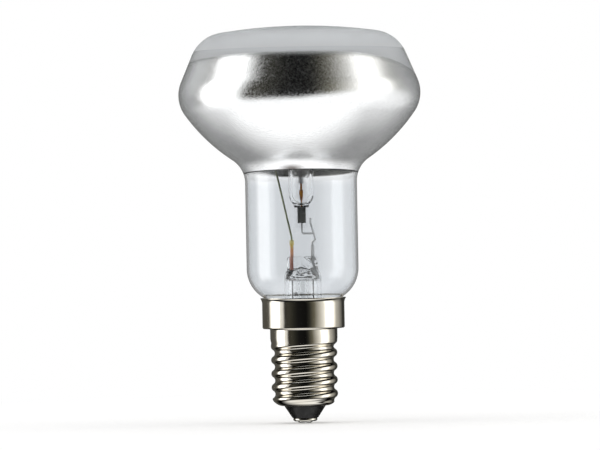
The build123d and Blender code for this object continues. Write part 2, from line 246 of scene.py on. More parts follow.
# Ceiling, wider on bare metal than in the glass
ceiling = glow((0.95, 0.98, 1.0, 1), 1)
ceiling_near = share_of(room, way_up, start=0.84, end=0.94)
ceiling_in_glass = share_of(room, way_up, start=0.90, end=0.985)
ceiling_seen = mix_of(room, "FLOAT", behind_glass, ceiling_near, ceiling_in_glass)
under_ceiling = blend_of(room, ceiling_seen, walls, ceiling)

# Backdrop, seen in the glass only, and brighter up to the left
backdrop_way = vector_sum(room, "DOT_PRODUCT", way, (-1, 0, 1))
backdrop_light = share_of(room, backdrop_way, start=0.6, end=1.25, low=1, high=2.2, soft=False)
backdrop = glow((0.43, 0.435, 0.44, 1), backdrop_light)
backdrop_share = share_of(room, way_back, start=0.15, end=0.75)
backdrop_seen = sum_of(room, "MULTIPLY", backdrop_share, behind_glass)
before_backdrop = blend_of(room, backdrop_seen, under_ceiling, backdrop)

# Table, by its way from front to back. In the glass it reaches higher, and higher still to the right.
table_front = grey(1.0)
table_tones = [
    (0.0, table_front),
    (0.49, table_front),
    (0.56, grey(0.76)),
    (0.63, grey(0.53)),
    (0.69, grey(0.38)),
    (0.74, grey(0.22)),
    (0.81, grey(0.22)),
    (0.88, grey(0.34)),
    (1.0, grey(0.40)),
]
table_brightness = 1.2
table_rise = -0.4
table_turn = vector_sum(room, "DOT_PRODUCT", way, (0.15, 1, 0))
table_way = share_of(room, table_turn, start=-1, end=1, soft=False)
table_colour = tone_of(room, table_way, table_tones)
sideways = sum_of(room, "ABSOLUTE", way_right)
table_side = share_of(room, sideways, start=0.30, end=0.82, high=0.85)
table = glow(vector_sum(room, "MAXIMUM", table_colour, table_side), table_brightness)
right_side = sum_of(room, "MAXIMUM", way_right, 0)
table_edge = sum_of(room, "MULTIPLY_ADD", right_side, table_rise, way_up)
table_near = share_of(room, way_up, start=-0.64, end=-0.86)
table_in_glass = share_of(room, table_edge, start=-0.20, end=-0.54)
table_seen = mix_of(room, "FLOAT", behind_glass, table_near, table_in_glass)
mirrored_room = blend_of(room, table_seen, before_backdrop, table)

# What dull pieces are lit by, and what is seen straight on or through the glass
white = (1, 1, 1, 1)
many_bounces = 2.5
scattered = sum_of(room, "GREATER_THAN", ray["Diffuse Depth"], some_bounce)
lit_room = blend_of(room, scattered, mirrored_room, glow(white, 1))
not_mirrored = sum_of(room, "LESS_THAN", ray["Glossy Depth"], some_bounce)
lit_walls = vector_sum(room, "MULTIPLY", wall_colour, wall_strength)
white_behind = share_of(room, way_back, start=-0.9, end=-0.4)
boxes_on_white = vector_sum(room, "MAXIMUM", lit_walls, white_behind)
white_ground = glow(mix_of(room, "RGBA", not_mirrored, boxes_on_white, white), 1)
deep_in_glass = sum_of(room, "GREATER_THAN", ray["Transmission Depth"], many_bounces)
through_glass = sum_of(room, "MAXIMUM", not_mirrored, deep_in_glass)
straight_through = sum_of(room, "MULTIPLY", ray["Is Transmission Ray"], through_glass)
seen_plain = sum_of(room, "MAXIMUM", ray["Is Camera Ray"], straight_through)
whole_room = blend_of(room, seen_plain, lit_room, white_ground)
place(room, "ShaderNodeOutputWorld", whole_room)


# Floor
# A sheet of white paper under the lamp, which takes its soft shadow and fades out into the ground.
# Glass and metal don't see it: they have the room's table instead.
floor_radius = 180 * mm
floor_drop = 0.02 * mm
floor_fades_from = floor_radius * 0.25
floor_fades_to = floor_radius * 0.95
paper_white = (0.93, 0.93, 0.93, 1)
paper_rim_steps = 64
paper_rings = 24


def turns_round(steps):
    """Angles that go once round evenly."""
    return [2 * pi * step / steps for step in range(steps)]


def turned_ring(radius, height, steps):
    """One ring of points round the lamp's axis."""
    return [(radius * cos(turn), radius * sin(turn), height) for turn in turns_round(steps)]


def new_finish(name, constants):
    """A material with the constants of its shader, ready for the nodes of one finish."""
    material = bpy.data.materials.new(name)
    material.use_nodes = True
    shader = material.node_tree.nodes["Principled BSDF"]
    for socket, value in constants.items():
        shader.inputs[socket].default_value = value
    return material, material.node_tree, shader


def spot_on(tree):
    """Where a point of a piece lies, in the lamp's own frame."""
    return place(tree, "ShaderNodeTexCoord").outputs["Object"]


paper_disc = bpy.data.meshes.new("paper_floor")
paper_form = bmesh.new()
paper_rows = []
for step in range(1, paper_rings + 1):
    ring = turned_ring(floor_radius * step / paper_rings, -floor_drop, paper_rim_steps)
    paper_rows.append([paper_form.verts.new(point) for point in ring])
paper_form.faces.new(paper_rows[0])
for row, after in zip(paper_rows, paper_rows[1:]):
    for step in range(paper_rim_steps):
        follow = (step + 1) % paper_rim_steps
        paper_form.faces.new((row[step], row[follow], after[follow], after[step]))
paper_form.to_mesh(paper_disc)
paper_form.free()
floor = bpy.data.objects.new("paper_floor", paper_disc)
scene.collection.objects.link(floor)
floor.visible_glossy = False
floor.visible_transmission = False

paper, paper_tree, paper_shader = new_finish(
    "white_paper", {"Base Color": paper_white, "Roughness": 0.9, "Specular IOR Level": 0.0}
)
paper_reach = vector_sum(paper_tree, "LENGTH", spot_on(paper_tree))
paper_share = share_of(paper_tree, paper_reach, floor_fades_from, floor_fades_to)
paper_ground = place(paper_tree, "ShaderNodeEmission").outputs[0]
paper_fade = blend_of(paper_tree, paper_share, paper_shader.outputs[0], paper_ground)
feed(paper_tree.nodes["Material Output"].inputs["Surface"], paper_fade)
paper_disc.materials.append(paper)


# Blown bulb
# Soft glass, blown in a mould: a straight neck, a reflector that swells to its belt, and a low face.
# The face is etched inside and satin outside, so that it spreads the light; the etched colour is a
# painted shade, darker towards the middle. The neck is sealed to the stem, and the inside of its lower
# part is tinted grey, a painted shade that fades out upwards.
glass_wall = 0.5 * mm
seal_radius = 7.5 * mm
seal_bottom = 21.3 * mm
seal_flare_radius = 2.5 * mm
seal_flare_height = 24.219 * mm
neck_radius = 11.55 * mm
neck_base_radius = 7.0 * mm
neck_base_height = 32.0 * mm
throat_radius = 5.7 * mm
flank_radius = 37.0 * mm
flank_slope = radians(35)
belt_radius = 7.0 * mm
belt_reach = 25.0 * mm
belt_height = 68.0 * mm
cone_slope = radians(23)
shoulder_radius = 7.5 * mm
face_radius = 110.0 * mm
lamp_height = 82.0 * mm
bulb_turns = 144
arc_step = radians(1.6)
arc_least_steps = 4

belt_centre = Vector((belt_reach - belt_radius, belt_height))
cone_normal = Vector((cos(cone_slope), sin(cone_slope)))
flank_normal = Vector((cos(flank_slope), -sin(flank_slope)))
flank_centre = belt_centre + flank_normal * (belt_radius - flank_radius)
throat_x = neck_radius + throat_radius
throat_drop = sqrt((flank_radius + throat_radius) ** 2 - (throat_x - flank_centre.x) ** 2)
throat_centre = Vector((throat_x, flank_centre.y - throat_drop))
seal_flare_centre = Vector((seal_radius + seal_flare_radius, seal_flare_height))
neck_base_centre = Vector((neck_radius - neck_base_radius, neck_base_height))
face_centre = Vector((0, lamp_height - face_radius))
shoulder_start = belt_centre + cone_normal * (belt_radius - shoulder_radius)
shoulder_way = Vector((-cone_normal.y, cone_normal.x))
face_to_start = shoulder_start - face_centre
face_along = face_to_start.dot(shoulder_way)
shoulder_room = (face_radius - shoulder_radius) ** 2 - face_to_start.length_squared
shoulder_reach = sqrt(shoulder_room + face_along**2)
shoulder_centre = shoulder_start + shoulder_way * (shoulder_reach - face_along)


def angle_of(direction):
    """The angle of a direction in the section plane, from straight out."""
    return Vector((1, 0)).angle_signed(direction) * -1


def section_arc(centre, radius, start, end):
    """Points on an arc of the section, from one angle to another."""
    steps = max(arc_least_steps, round(abs(end - start) / arc_step))
    angles = [start + (end - start) * step / steps for step in range(steps + 1)]
    return [(centre.x + radius * cos(angle), centre.y + radius * sin(angle)) for angle in angles]


base_angle = angle_of(neck_base_centre - seal_flare_centre)
throat_angle = angle_of(flank_centre - throat_centre)
shoulder_angle = angle_of(shoulder_centre - face_centre)
last_face_angle = radians(89.7)
neck_rise = throat_centre.y - neck_base_centre.y
neck_steps = 10
neck_heights = [neck_base_centre.y + neck_rise * step / neck_steps for step in range(1, neck_steps)]


def bulb_section(inset):
    """The bulb's section from the seal up to the crown, drawn inside its skin by inset."""
    return (
        [(seal_radius - inset, seal_bottom)]
        + section_arc(seal_flare_centre, seal_flare_radius + inset, pi, base_angle)
        + section_arc(neck_base_centre, neck_base_radius - inset, base_angle - pi, 0)[1:]
        + [(neck_radius - inset, height) for height in neck_heights]
        + section_arc(throat_centre, throat_radius + inset, pi, throat_angle)
        + section_arc(flank_centre, flank_radius - inset, throat_angle - pi, -flank_slope)[1:]
        + section_arc(belt_centre, belt_radius - inset, -flank_slope, cone_slope)[1:]
        + section_arc(shoulder_centre, shoulder_radius - inset, cone_slope, shoulder_angle)
        + section_arc(face_centre, face_radius - inset, shoulder_angle, last_face_angle)[1:]
    )


def skin_of_rings(name, rings, closed=False, tips=None):
    """A mesh over rings of points: closed into a loop, or shut at both ends by fans to their tips."""
    mesh = bpy.data.meshes.new(name)
    form = bmesh.new()
    rows = [[form.verts.new(point) for point in ring] for ring in rings]
    pairs = list(zip(rows, rows[1:]))
    if closed:
        pairs.append((rows[-1], rows[0]))
    for row, after in pairs:
        for spot in range(len(row)):
            follow = (spot + 1) % len(row)
            form.faces.new((row[spot], row[follow], after[follow], after[spot]))
    if not closed:
        for row, ring, tip in ((rows[0], rings[0], 0), (rows[-1], rings[-1], 1)):
            middle = sum((Vector(point) for point in ring), Vector()) / len(ring)
            centre = form.verts.new((0, 0, tips[tip]) if tips else middle)
            for spot in range(len(row)):
                follow = (spot + 1) % len(row)
                form.faces.new((row[spot], row[follow], centre))
    for face in form.faces:
        face.smooth = True
    bmesh.ops.recalc_face_normals(form, faces=form.faces)
    form.to_mesh(mesh)
    form.free()
    piece = bpy.data.objects.new(name, mesh)
    scene.collection.objects.link(piece)
    return piece


def turned_skin(name, outline, turns, closed=False, tips=None):
    """A mesh turned round the lamp's axis from an outline of radius and height."""
    rings = [turned_ring(radius, height, turns) for radius, height in outline]
    return skin_of_rings(name, rings, closed, tips)


bulb_glass = turned_skin(
    "bulb_glass",
    bulb_section(0)[::-1] + bulb_section(glass_wall),
    bulb_turns,
    tips=(lamp_height, lamp_height - glass_wall),
)


def new_group(name, inputs, outputs):
    """An empty shared effect with named inputs and outputs."""
    group = bpy.data.node_groups.new(name, "ShaderNodeTree")
    for in_out, sockets in (("INPUT", inputs), ("OUTPUT", outputs)):
        for socket in sockets:
            group.interface.new_socket(socket, in_out=in_out, socket_type="NodeSocketFloat")
    return group


# Speckle: fine random grain between two values, at a scale given per metre
cloud_low = 0.32
cloud_high = 0.68
cloud_detail = 3
speckle = new_group("speckle", inputs=("Scale", "Low", "High"), outputs=("Value",))
speckle_in = place(speckle, "NodeGroupInput").outputs
cloud = place(speckle, "ShaderNodeTexNoise")
feed(cloud.inputs["Vector"], spot_on(speckle))
feed(cloud.inputs["Scale"], speckle_in["Scale"])
feed(cloud.inputs["Detail"], cloud_detail)
speckle_value = share_of(
    speckle, cloud.outputs["Fac"], cloud_low, cloud_high, speckle_in["Low"], speckle_in["High"], soft=False
)
place(speckle, "NodeGroupOutput", speckle_value)

# Height share: from nought to one between two heights on the lamp, evenly or softly
height_share = new_group("height_share", inputs=("Low", "High"), outputs=("Even", "Soft"))
height_in = place(height_share, "NodeGroupInput").outputs
spot_up = parts_of(height_share, spot_on(height_share))["Z"]
even_height = share_of(height_share, spot_up, height_in["Low"], height_in["High"], soft=False)
soft_height = share_of(height_share, spot_up, height_in["Low"], height_in["High"])
place(height_share, "NodeGroupOutput", even_height, soft_height)


def effect(tree, group, **inputs):
    """Places a shared effect in a material with its own values."""
    made = place(tree, "ShaderNodeGroup", node_tree=group)
    for name, value in inputs.items():
        feed(made.inputs[name], value)
    return made.outputs


def grain_tone(tree, grain, dark, light):
    """A colour that changes from dark to light with the speckle."""
    value = effect(tree, speckle, Scale=grain, Low=0, High=1)["Value"]
    return tone_of(tree, value, [(0.0, dark), (1.0, light)])


def roughened(shader, grain, low, high):
    """Dulls a shader's shine unevenly by the speckle."""
    value = effect(shader.id_data, speckle, Scale=grain, Low=low, High=high)["Value"]
    feed(shader.inputs["Roughness"], value)


def raised(shader, grain, depth, strength):
    """Raises the speckle on a surface as a small height."""
    bump = place(shader.id_data, "ShaderNodeBump")
    feed(bump.inputs["Distance"], depth)
    feed(bump.inputs["Strength"], strength)
    value = effect(shader.id_data, speckle, Scale=grain, Low=0, High=1)["Value"]
    feed(bump.inputs["Height"], value)
    feed(shader.inputs["Normal"], bump.outputs["Normal"])


film_grain = 260


def glass_finish(name, ior, rough, through, edge):
    """Clear glass with a faint film that dulls its shine, and painted shade that makes it greyer edge on.
    """
    material, tree, shader = new_finish(name, {"IOR": ior, "Transmission Weight": 1})
    slant = place(tree, "ShaderNodeLayerWeight").outputs["Facing"]
    tone = tone_of(tree, slant, [(0.0, through), (0.5, through), (1.0, edge)])
    feed(shader.inputs["Base Color"], tone)
    roughened(shader, film_grain, *rough)
    return material, shader


# The edge tones make the glass greyer where it is seen edge on: painted shade for the dark room at its
# sides.
soft_glass = {"ior": 1.5, "through": (0.98, 0.985, 0.99), "edge": (0.95, 0.955, 0.96)}
ripple = {"grain": 90, "depth": 0.05 * mm, "strength": 0.12}
etch = {"grain": 4000, "depth": 0.02 * mm}
clear_glass, clear_shader = glass_finish("blown_glass", rough=(0.0, 0.015), **soft_glass)
raised(clear_shader, **ripple)

satin_from = 77.0 * mm
satin_glass, satin_shader = glass_finish("satin_glass", rough=(0.40, 0.50), **soft_glass)
raised(satin_shader, strength=0.3, **etch)

etched_from = 69.5 * mm
etched_shade_reach = 28 * mm
# The etched face's colour is painted shade: darker and bluer towards its middle, lighter towards its rim.
etched_shade_tones = [
    (0.0, (0.70, 0.725, 0.74)),
    (0.22, (0.74, 0.765, 0.78)),
    (0.55, (0.95, 0.968, 0.98)),
    (1.0, (0.96, 0.975, 0.985)),
]
etched_glass, etched_tree, etched_shader = new_finish(
    "etched_glass", {"Transmission Weight": 0.13, "Specular IOR Level": 0}
)
etched_flat = vector_sum(etched_tree, "MULTIPLY", spot_on(etched_tree), (1, 1, 0))
etched_distance = vector_sum(etched_tree, "LENGTH", etched_flat)
etched_shade_share = share_of(etched_tree, etched_distance, 0, etched_shade_reach, soft=False)
feed(etched_shader.inputs["Base Color"], tone_of(etched_tree, etched_shade_share, etched_shade_tones))
roughened(etched_shader, film_grain, low=0.42, high=0.50)
raised(etched_shader, strength=0.5, **etch)

# The inside of the neck's lower part is tinted grey: painted shade, fading out upwards.
painted_shade_fades_from = 48.5 * mm
painted_shade_to = 52.5 * mm
painted_shade_tones = [(0.0, (0.70, 0.73, 0.76)), (1.0, (0.95, 0.96, 0.97))]
painted_shade_glass, painted_shade_tree, painted_shade_shader = new_finish(
    "painted_shade_glass", {"IOR": soft_glass["ior"], "Transmission Weight": 1}
)
painted_shade_share = effect(painted_shade_tree, height_share, Low=painted_shade_fades_from, High=painted_shade_to)["Soft"]
feed(painted_shade_shader.inputs["Base Color"], tone_of(painted_shade_tree, painted_shade_share, painted_shade_tones))
roughened(painted_shade_shader, film_grain, low=0.0, high=0.02)
raised(painted_shade_shader, **ripple)


def faces_axis(face):
    """Whether a face looks towards the lamp's axis."""
    return face.normal.x * face.center.x + face.normal.y * face.center.y < 0


bulb_finishes = [clear_glass, etched_glass, painted_shade_glass, satin_glass]
for finish in bulb_finishes:
    bulb_glass.data.materials.append(finish)
for face in bulb_glass.data.polygons:
    height = face.center.z
    if height > etched_from and (faces_axis(face) or face.normal.z < 0):
        face.material_index = bulb_finishes.index(etched_glass)
    elif height > satin_from:
        face.material_index = bulb_finishes.index(satin_glass)
    elif seal_bottom < height < painted_shade_to and faces_axis(face):
        face.material_index = bulb_finishes.index(painted_shade_glass)
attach(bulb_glass, "root")
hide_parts("outer_bulb")


# Mirror
# Aluminium, evaporated onto the inside of the reflector. Its edges are where the mask sat: the upper
# one is soft and droops from the front to both sides, more to the right. The lower one sits a little
# lower at the back, where it thins out. In front, above the lower edge, the silver carries a painted
# dark reflection, and its inside carries a painted reflection band, dark with a light left side.
mirror_skin = 0.40 * mm
mirror_back = 0.48 * mm
mirror_turns = 180
mirror_steps = 90
mirror_low = 51.6 * mm
mirror_low_tilt = 0.0612
mirror_high = 76.4 * mm
mirror_left_droop = 1.6 * mm
mirror_right_droop = 5.2 * mm
droop_curve = 1.3


def reflector_radius(height, inset):
    """The reflector's radius at a height, for a surface inset from the bulb's skin."""
    flank_foot = throat_centre.y + (throat_radius + inset) * sin(throat_angle)
    flank_head = belt_centre.y - (belt_radius - inset) * sin(flank_slope)
    belt_head = belt_centre.y + (belt_radius - inset) * sin(cone_slope)
    if height < throat_centre.y:
        return neck_radius - inset
    if height < flank_foot:
        return throat_centre.x - sqrt((throat_radius + inset) ** 2 - (height - throat_centre.y) ** 2)
    if height < flank_head:
        return flank_centre.x + sqrt((flank_radius - inset) ** 2 - (height - flank_centre.y) ** 2)
    if height < belt_head:
        return belt_centre.x + sqrt((belt_radius - inset) ** 2 - (height - belt_centre.y) ** 2)
    past_belt = (height - belt_head) * sin(cone_slope) / cos(cone_slope)
    return belt_centre.x + (belt_radius - inset) * cos(cone_slope) - past_belt


def mirror_point(turn, share, inset):
    """A point on the mirror: turn goes round from the right, share runs from lower to upper edge."""
    right = cos(turn)
    back = sin(turn)
    lower = mirror_low - mirror_low_tilt * neck_radius * back
    droop = mirror_left_droop + (mirror_right_droop - mirror_left_droop) * (1 + right) / 2
    upper = mirror_high - droop * min(1, 1 + back) ** droop_curve
    height = lower + (upper - lower) * share
    radius = reflector_radius(height, inset)
    return (radius * right, radius * back, height)


def mirror_ring(share, inset):
    """One ring of the mirror between its edges."""
    return [mirror_point(turn, share, inset) for turn in turns_round(mirror_turns)]


mirror_shares = [step / mirror_steps for step in range(mirror_steps + 1)]
mirror_rings = [mirror_ring(share, mirror_skin) for share in mirror_shares]
mirror_rings += [mirror_ring(share, mirror_back) for share in mirror_shares[::-1]]
mirror = skin_of_rings("mirror", mirror_rings, closed=True)
edge_map = mirror.data.uv_layers.new(name="edge_to_edge")
last_row = len(mirror_rings) - 1
for face in mirror.data.polygons:
    for corner in face.loop_indices:
        row = mirror.data.loops[corner].vertex_index // mirror_turns
        edge_map.data[corner].uv = (0, mirror_shares[min(row, last_row - row)])

# Thinned edge: what is kept of the mirror near its upper edge, and near its lower edge at the back
upper_thins_from = 0.93
thin_behind = 3 * mm
thin_left = -8 * mm
thin_middle = -4 * mm
wide_thinning = 0.085
narrow_thinning = 0.022
thinned_edge = new_group("thinned_edge", inputs=(), outputs=("Kept",))
across = place(thinned_edge, "ShaderNodeUVMap", uv_map="edge_to_edge").outputs[0]
share_up = parts_of(thinned_edge, across)["Y"]
thin_spot = parts_of(thinned_edge, spot_on(thinned_edge))
upper_kept = share_of(thinned_edge, share_up, upper_thins_from, 1, low=1, high=0)
in_front = share_of(thinned_edge, thin_spot["Y"], thin_behind, 0, soft=False)
lower_reach = share_of(
    thinned_edge, thin_spot["X"], thin_left, thin_middle, wide_thinning, narrow_thinning
)
lower_fade = share_of(thinned_edge, share_up, 0, lower_reach)
lower_kept = sum_of(thinned_edge, "MAXIMUM", lower_fade, in_front)
place(thinned_edge, "NodeGroupOutput", sum_of(thinned_edge, "MULTIPLY", upper_kept, lower_kept))

# A painted dark reflection on the silver in front, just above its lower edge.
dark_reflection_centre = (-1.8 * mm, -neck_radius, 52.6 * mm)
dark_reflection_size = (3.4 * mm, 4 * mm, 1.2 * mm)
dark_reflection_colour = (0.16, 0.14, 0.13, 1)
silver, silver_tree, silver_shader = new_finish("satin_aluminium", {"Metallic": 1})
silver_tone = grain_tone(
    silver_tree, grain=3300, dark=(0.91, 0.915, 0.915), light=(0.96, 0.965, 0.965)
)
from_dark_reflection = vector_sum(silver_tree, "SUBTRACT", spot_on(silver_tree), dark_reflection_centre)
dark_reflection_spread = vector_sum(silver_tree, "DIVIDE", from_dark_reflection, dark_reflection_size)
dark_reflection_reach = vector_sum(silver_tree, "LENGTH", dark_reflection_spread)
dark_reflection_share = share_of(silver_tree, dark_reflection_reach, start=1, end=0)
silver_with_dark_reflection = mix_of(silver_tree, "RGBA", dark_reflection_share, silver_tone, dark_reflection_colour)
feed(silver_shader.inputs["Base Color"], silver_with_dark_reflection)
roughened(silver_shader, grain=2600, low=0.07, high=0.25)
raised(silver_shader, grain=3000, depth=0.018 * mm, strength=0.3)
feed(silver_shader.inputs["Alpha"], effect(silver_tree, thinned_edge)["Kept"])

# The inside of the mirror carries a painted reflection: a dark band above its lower edge that fades
# upwards, dark across the middle and right and light at the left side.
painted_reflection_low = 52.5 * mm
painted_reflection_high = 58.0 * mm
painted_reflection_reach = 14 * mm
painted_reflection_across_tones = [
    (0.12, grey(0.0)),
    (0.26, grey(0.10)),
    (0.38, grey(1.0)),
    (0.52, grey(0.98)),
    (0.72, grey(0.70)),
    (0.90, grey(0.85)),
]
painted_reflection_tones = [(0.0, (0.93, 0.94, 0.93)), (1.0, (0.06, 0.07, 0.04))]
dull_silver, dull_tree, dull_shader = new_finish("dull_aluminium", {"Metallic": 0.4})
painted_reflection_down = effect(dull_tree, height_share, Low=painted_reflection_high, High=painted_reflection_low)["Soft"]
painted_reflection_right = parts_of(dull_tree, spot_on(dull_tree))["X"]
painted_reflection_place = share_of(dull_tree, painted_reflection_right, -painted_reflection_reach, painted_reflection_reach, soft=False)
painted_reflection_across = tone_of(dull_tree, painted_reflection_place, painted_reflection_across_tones)
painted_reflection_band = sum_of(dull_tree, "MULTIPLY", painted_reflection_down, painted_reflection_across)
feed(dull_shader.inputs["Base Color"], tone_of(dull_tree, painted_reflection_band, painted_reflection_tones))
roughened(dull_shader, grain=900, low=0.25, high=0.4)
feed(dull_shader.inputs["Alpha"], effect(dull_tree, thinned_edge)["Kept"])

mirror_finishes = [silver, dull_silver]
for finish in mirror_finishes:
    mirror.data.materials.append(finish)
for face in mirror.data.polygons:
    if faces_axis(face):
        face.material_index = mirror_finishes.index(dull_silver)
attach(mirror, "root")
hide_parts("mirror_coating")


# Stem
# Lead glass tube, flared below to the neck and pressed flat above on the seal wires, which leaves
# small lumps. The thin exhaust tube runs down its middle and is tipped off inside the cap.
stem_radius = 3.85 * mm
stem_wall = 0.75 * mm
stem_rim_radius = 6.66 * mm
stem_rim_top = 21.9 * mm
stem_flare_top = 23.3 * mm
press_bottom = 30.2 * mm
press_shoulder = 32.0 * mm
press_top = 34.4 * mm
press_half_width = 3.2 * mm
press_half_depth = 1.3 * mm
press_round = 0.6 * mm
press_lump = 0.35 * mm
lumps_from = -1.2 * mm
press_lumps_across = 2.2 / mm
press_lump_height = 0.35 * mm
stem_turns = 96
stem_steps = 70
press_round_steps = 8
bore_end_steps = 8


def eased(share):
    """A smooth step from nought to one."""
    held = min(1, max(0, share))
    return held * held * (3 - 2 * held)


def flat_ring(half_width, half_depth, squareness, height, steps):
    """A ring that is round at squareness 2 and flatter sided above that."""
    ring = []
    for turn in turns_round(steps):
        across = abs(cos(turn)) ** (2 / squareness)
        deep = abs(sin(turn)) ** (2 / squareness)
        x = half_width * across * (1 if cos(turn) >= 0 else -1)
        y = half_depth * deep * (1 if sin(turn) >= 0 else -1)
        ring.append((x, y, height))
    return ring


def stem_ring(height, inset):
    """A ring of the stem's skin at a height, drawn in by inset."""
    flare = eased((stem_flare_top - height) / (stem_flare_top - stem_rim_top))
    tube = stem_radius + (stem_rim_radius - stem_radius) * flare
    pressed = eased((height - press_bottom) / (press_shoulder - press_bottom))
    shut = max(0, height - (press_top - press_round)) / press_round
    rounding = press_round * (1 - sqrt(max(0, 1 - shut * shut)))
    half_width = tube + (press_half_width - tube) * pressed - rounding - inset
    half_depth = tube + (press_half_depth - tube) * pressed - rounding - inset
    lumps = press_lump * pressed * (1 - shut)
    ring = []
    for x, y, z in flat_ring(half_width, half_depth, 2 + pressed, height, stem_turns):
        right_part = eased((x - lumps_from) / press_half_depth)
        swell = lumps * right_part * sin(press_lumps_across * x + height / press_lump_height)
        ring.append((x, y + swell * y / press_half_depth, z))
    return ring


def quarter_turns(first, steps):
    """Angles that go up evenly towards a right angle."""
    return [pi / 2 * step / steps for step in range(first, steps)]


tube_rise = press_top - press_round - seal_bottom
tube_heights = [seal_bottom + tube_rise * step / stem_steps for step in range(stem_steps + 1)]
round_turns = quarter_turns(1, press_round_steps)
round_heights = [press_top - press_round + press_round * sin(turn) for turn in round_turns]
bore_heights = [height for height in tube_heights if height < press_bottom - stem_wall]
bore_radius = stem_radius - stem_wall
bore_end = bore_heights[-1]
stem_rings = [stem_ring(height, 0) for height in (tube_heights + round_heights)[::-1]]
stem_rings += [stem_ring(height, stem_wall) for height in bore_heights]
for climb in quarter_turns(1, bore_end_steps):
    end_height = bore_end + stem_wall * sin(climb)
    stem_rings.append(turned_ring(bore_radius * cos(climb), end_height, stem_turns))
stem = skin_of_rings("stem_glass", stem_rings, tips=(press_top, bore_end + stem_wall))
# The lead glass's edge tone is a strong painted shade.
stem_glass, stem_shader = glass_finish(
    "lead_glass", ior=1.55, rough=(0.0, 0.02), through=(0.985, 0.99, 0.99), edge=(0.52, 0.54, 0.54)
)
raised(stem_shader, grain=600, depth=0.05 * mm, strength=0.08)
stem.data.materials.append(stem_glass)
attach(stem, "root")
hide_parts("stem")

exhaust_radius = 1.2 * mm
exhaust_bore = 0.8 * mm
exhaust_tip = 14.7 * mm
exhaust_tip_wall = 0.4 * mm
exhaust_gap = 0.1 * mm
exhaust_top = press_bottom - exhaust_gap
exhaust_step = 0.2 * mm
exhaust_turns = 40
tip_steps = 10


def even_steps(outline, longest):
    """An outline with points added on its long runs, so that smooth shading keeps them straight."""
    stepped = [outline[0]]
    for start, end in zip(outline, outline[1:]):
        run = Vector(end) - Vector(start)
        steps = max(1, round(run.length / longest))
        stepped += [tuple(Vector(start) + run * step / steps) for step in range(1, steps + 1)]
    return stepped


tip_turns = quarter_turns(1, tip_steps) + [pi / 2]
tip_outside = [
    (exhaust_radius * sin(turn), exhaust_tip + exhaust_radius * (1 - cos(turn))) for turn in tip_turns
]
tip_inside = [
    (radius * exhaust_bore / exhaust_radius, height + exhaust_tip_wall) for radius, height in tip_outside
]
tube_ends = [(exhaust_radius, exhaust_top), (exhaust_bore, exhaust_top)]
exhaust = turned_skin(
    "exhaust_tube_glass",
    even_steps(tip_outside + tube_ends + tip_inside[::-1], exhaust_step),
    exhaust_turns,
    tips=(exhaust_tip, exhaust_tip + exhaust_tip_wall),
)
exhaust.data.materials.append(stem_glass)
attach(exhaust, "root")
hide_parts("exhaust_tube")


# Seal wires
# Copper-clad wire, held gas-tight in the press. Its borax glaze is red above the press and fades to
# straw at the weld knot. From the foot of the press down the bare wire is painted black, a painted
# reflection of the dark room in front.
glaze_low = 30.8 * mm
glaze_high = 38.0 * mm
bare_to = 0.05
glazed_from = 0.09
# The bare wire's black is a painted reflection of the dark room in front.
wire_dark_reflection = (0.03, 0.028, 0.026)
glaze_tones = [
    (0.0, wire_dark_reflection),
    (bare_to, wire_dark_reflection),
    (glazed_from, (0.86, 0.34, 0.28)),
    (0.45, (0.95, 0.45, 0.33)),
    (0.72, (0.90, 0.45, 0.20)),
    (0.82, (0.84, 0.60, 0.15)),
    (0.92, (0.96, 0.84, 0.36)),
    (1.0, (0.80, 0.72, 0.30)),
]
glaze, glaze_tree, glaze_shader = new_finish("glazed_copper", {"Coat Weight": 0.6})
glaze_share = effect(glaze_tree, height_share, Low=glaze_low, High=glaze_high)["Even"]
bare_metal = share_of(glaze_tree, glaze_share, glazed_from, bare_to, soft=False)
feed(glaze_shader.inputs["Base Color"], tone_of(glaze_tree, glaze_share, glaze_tones))
feed(glaze_shader.inputs["Metallic"], bare_metal)
roughened(glaze_shader, grain=2500, low=0.12, high=0.3)
raised(glaze_shader, grain=2500, depth=0.05 * mm, strength=0.4)


def refinish(node, material):
    """Gives a CAD node, whose shape stays, its finish."""
    slots = nodes_of_cad[node].data.materials
    slots.clear()
    slots.append(material)


refinish("left_seal_wire", glaze)


# Support wires and leads
# Nickel-plated iron wire, bent cold and welded at the knots. It carries the burner on the axis. The
# long wire has an olive cast where it was heated, the right seal wire and the wires up to the
# burner's lower end are pale and dull, and the leads are dark.
def grained_finish(name, constants, tone, rough, bump=None):
    """A solid finish with an uneven tone and shine, and with a small relief where it has one."""
    material, tree, shader = new_finish(name, constants)
    feed(shader.inputs["Base Color"], grain_tone(tree, **tone))
    roughened(shader, **rough)
    if bump:
        raised(shader, **bump)
    return material


def wire_finish(name, dark, light, rough, metal=1):
    """Drawn metal between a dark and a light tone, with a fine grain and two ends of its dullness."""
    return grained_finish(
        name,
        {"Metallic": metal},
        tone={"grain": 400, "dark": dark, "light": light},
        rough={"grain": 3000, "low": rough[0], "high": rough[1]},
        bump={"grain": 6000, "depth": 0.01 * mm, "strength": 0.4},
    )


support_wire = wire_finish(
    "olive_iron_wire", dark=(0.20, 0.22, 0.15), light=(0.36, 0.38, 0.26), rough=(0.35, 0.5)
)
lead_wire = wire_finish(
    "lead_wire", dark=(0.03, 0.03, 0.028), light=(0.07, 0.068, 0.06), rough=(0.3, 0.5)
)
pale_wire = wire_finish(
    "pale_nickel_wire", dark=(0.80, 0.80, 0.79), light=(0.93, 0.93, 0.92), rough=(0.45, 0.65), metal=0.1
)
refinish("long_support_wire", support_wire)
for pale_piece in ("right_seal_wire", "short_support_wire", "lower_burner_lead"):
    refinish(pale_piece, pale_wire)
for dark_piece in ("upper_burner_lead", "side_lead", "centre_lead"):
    refinish(dark_piece, lead_wire)


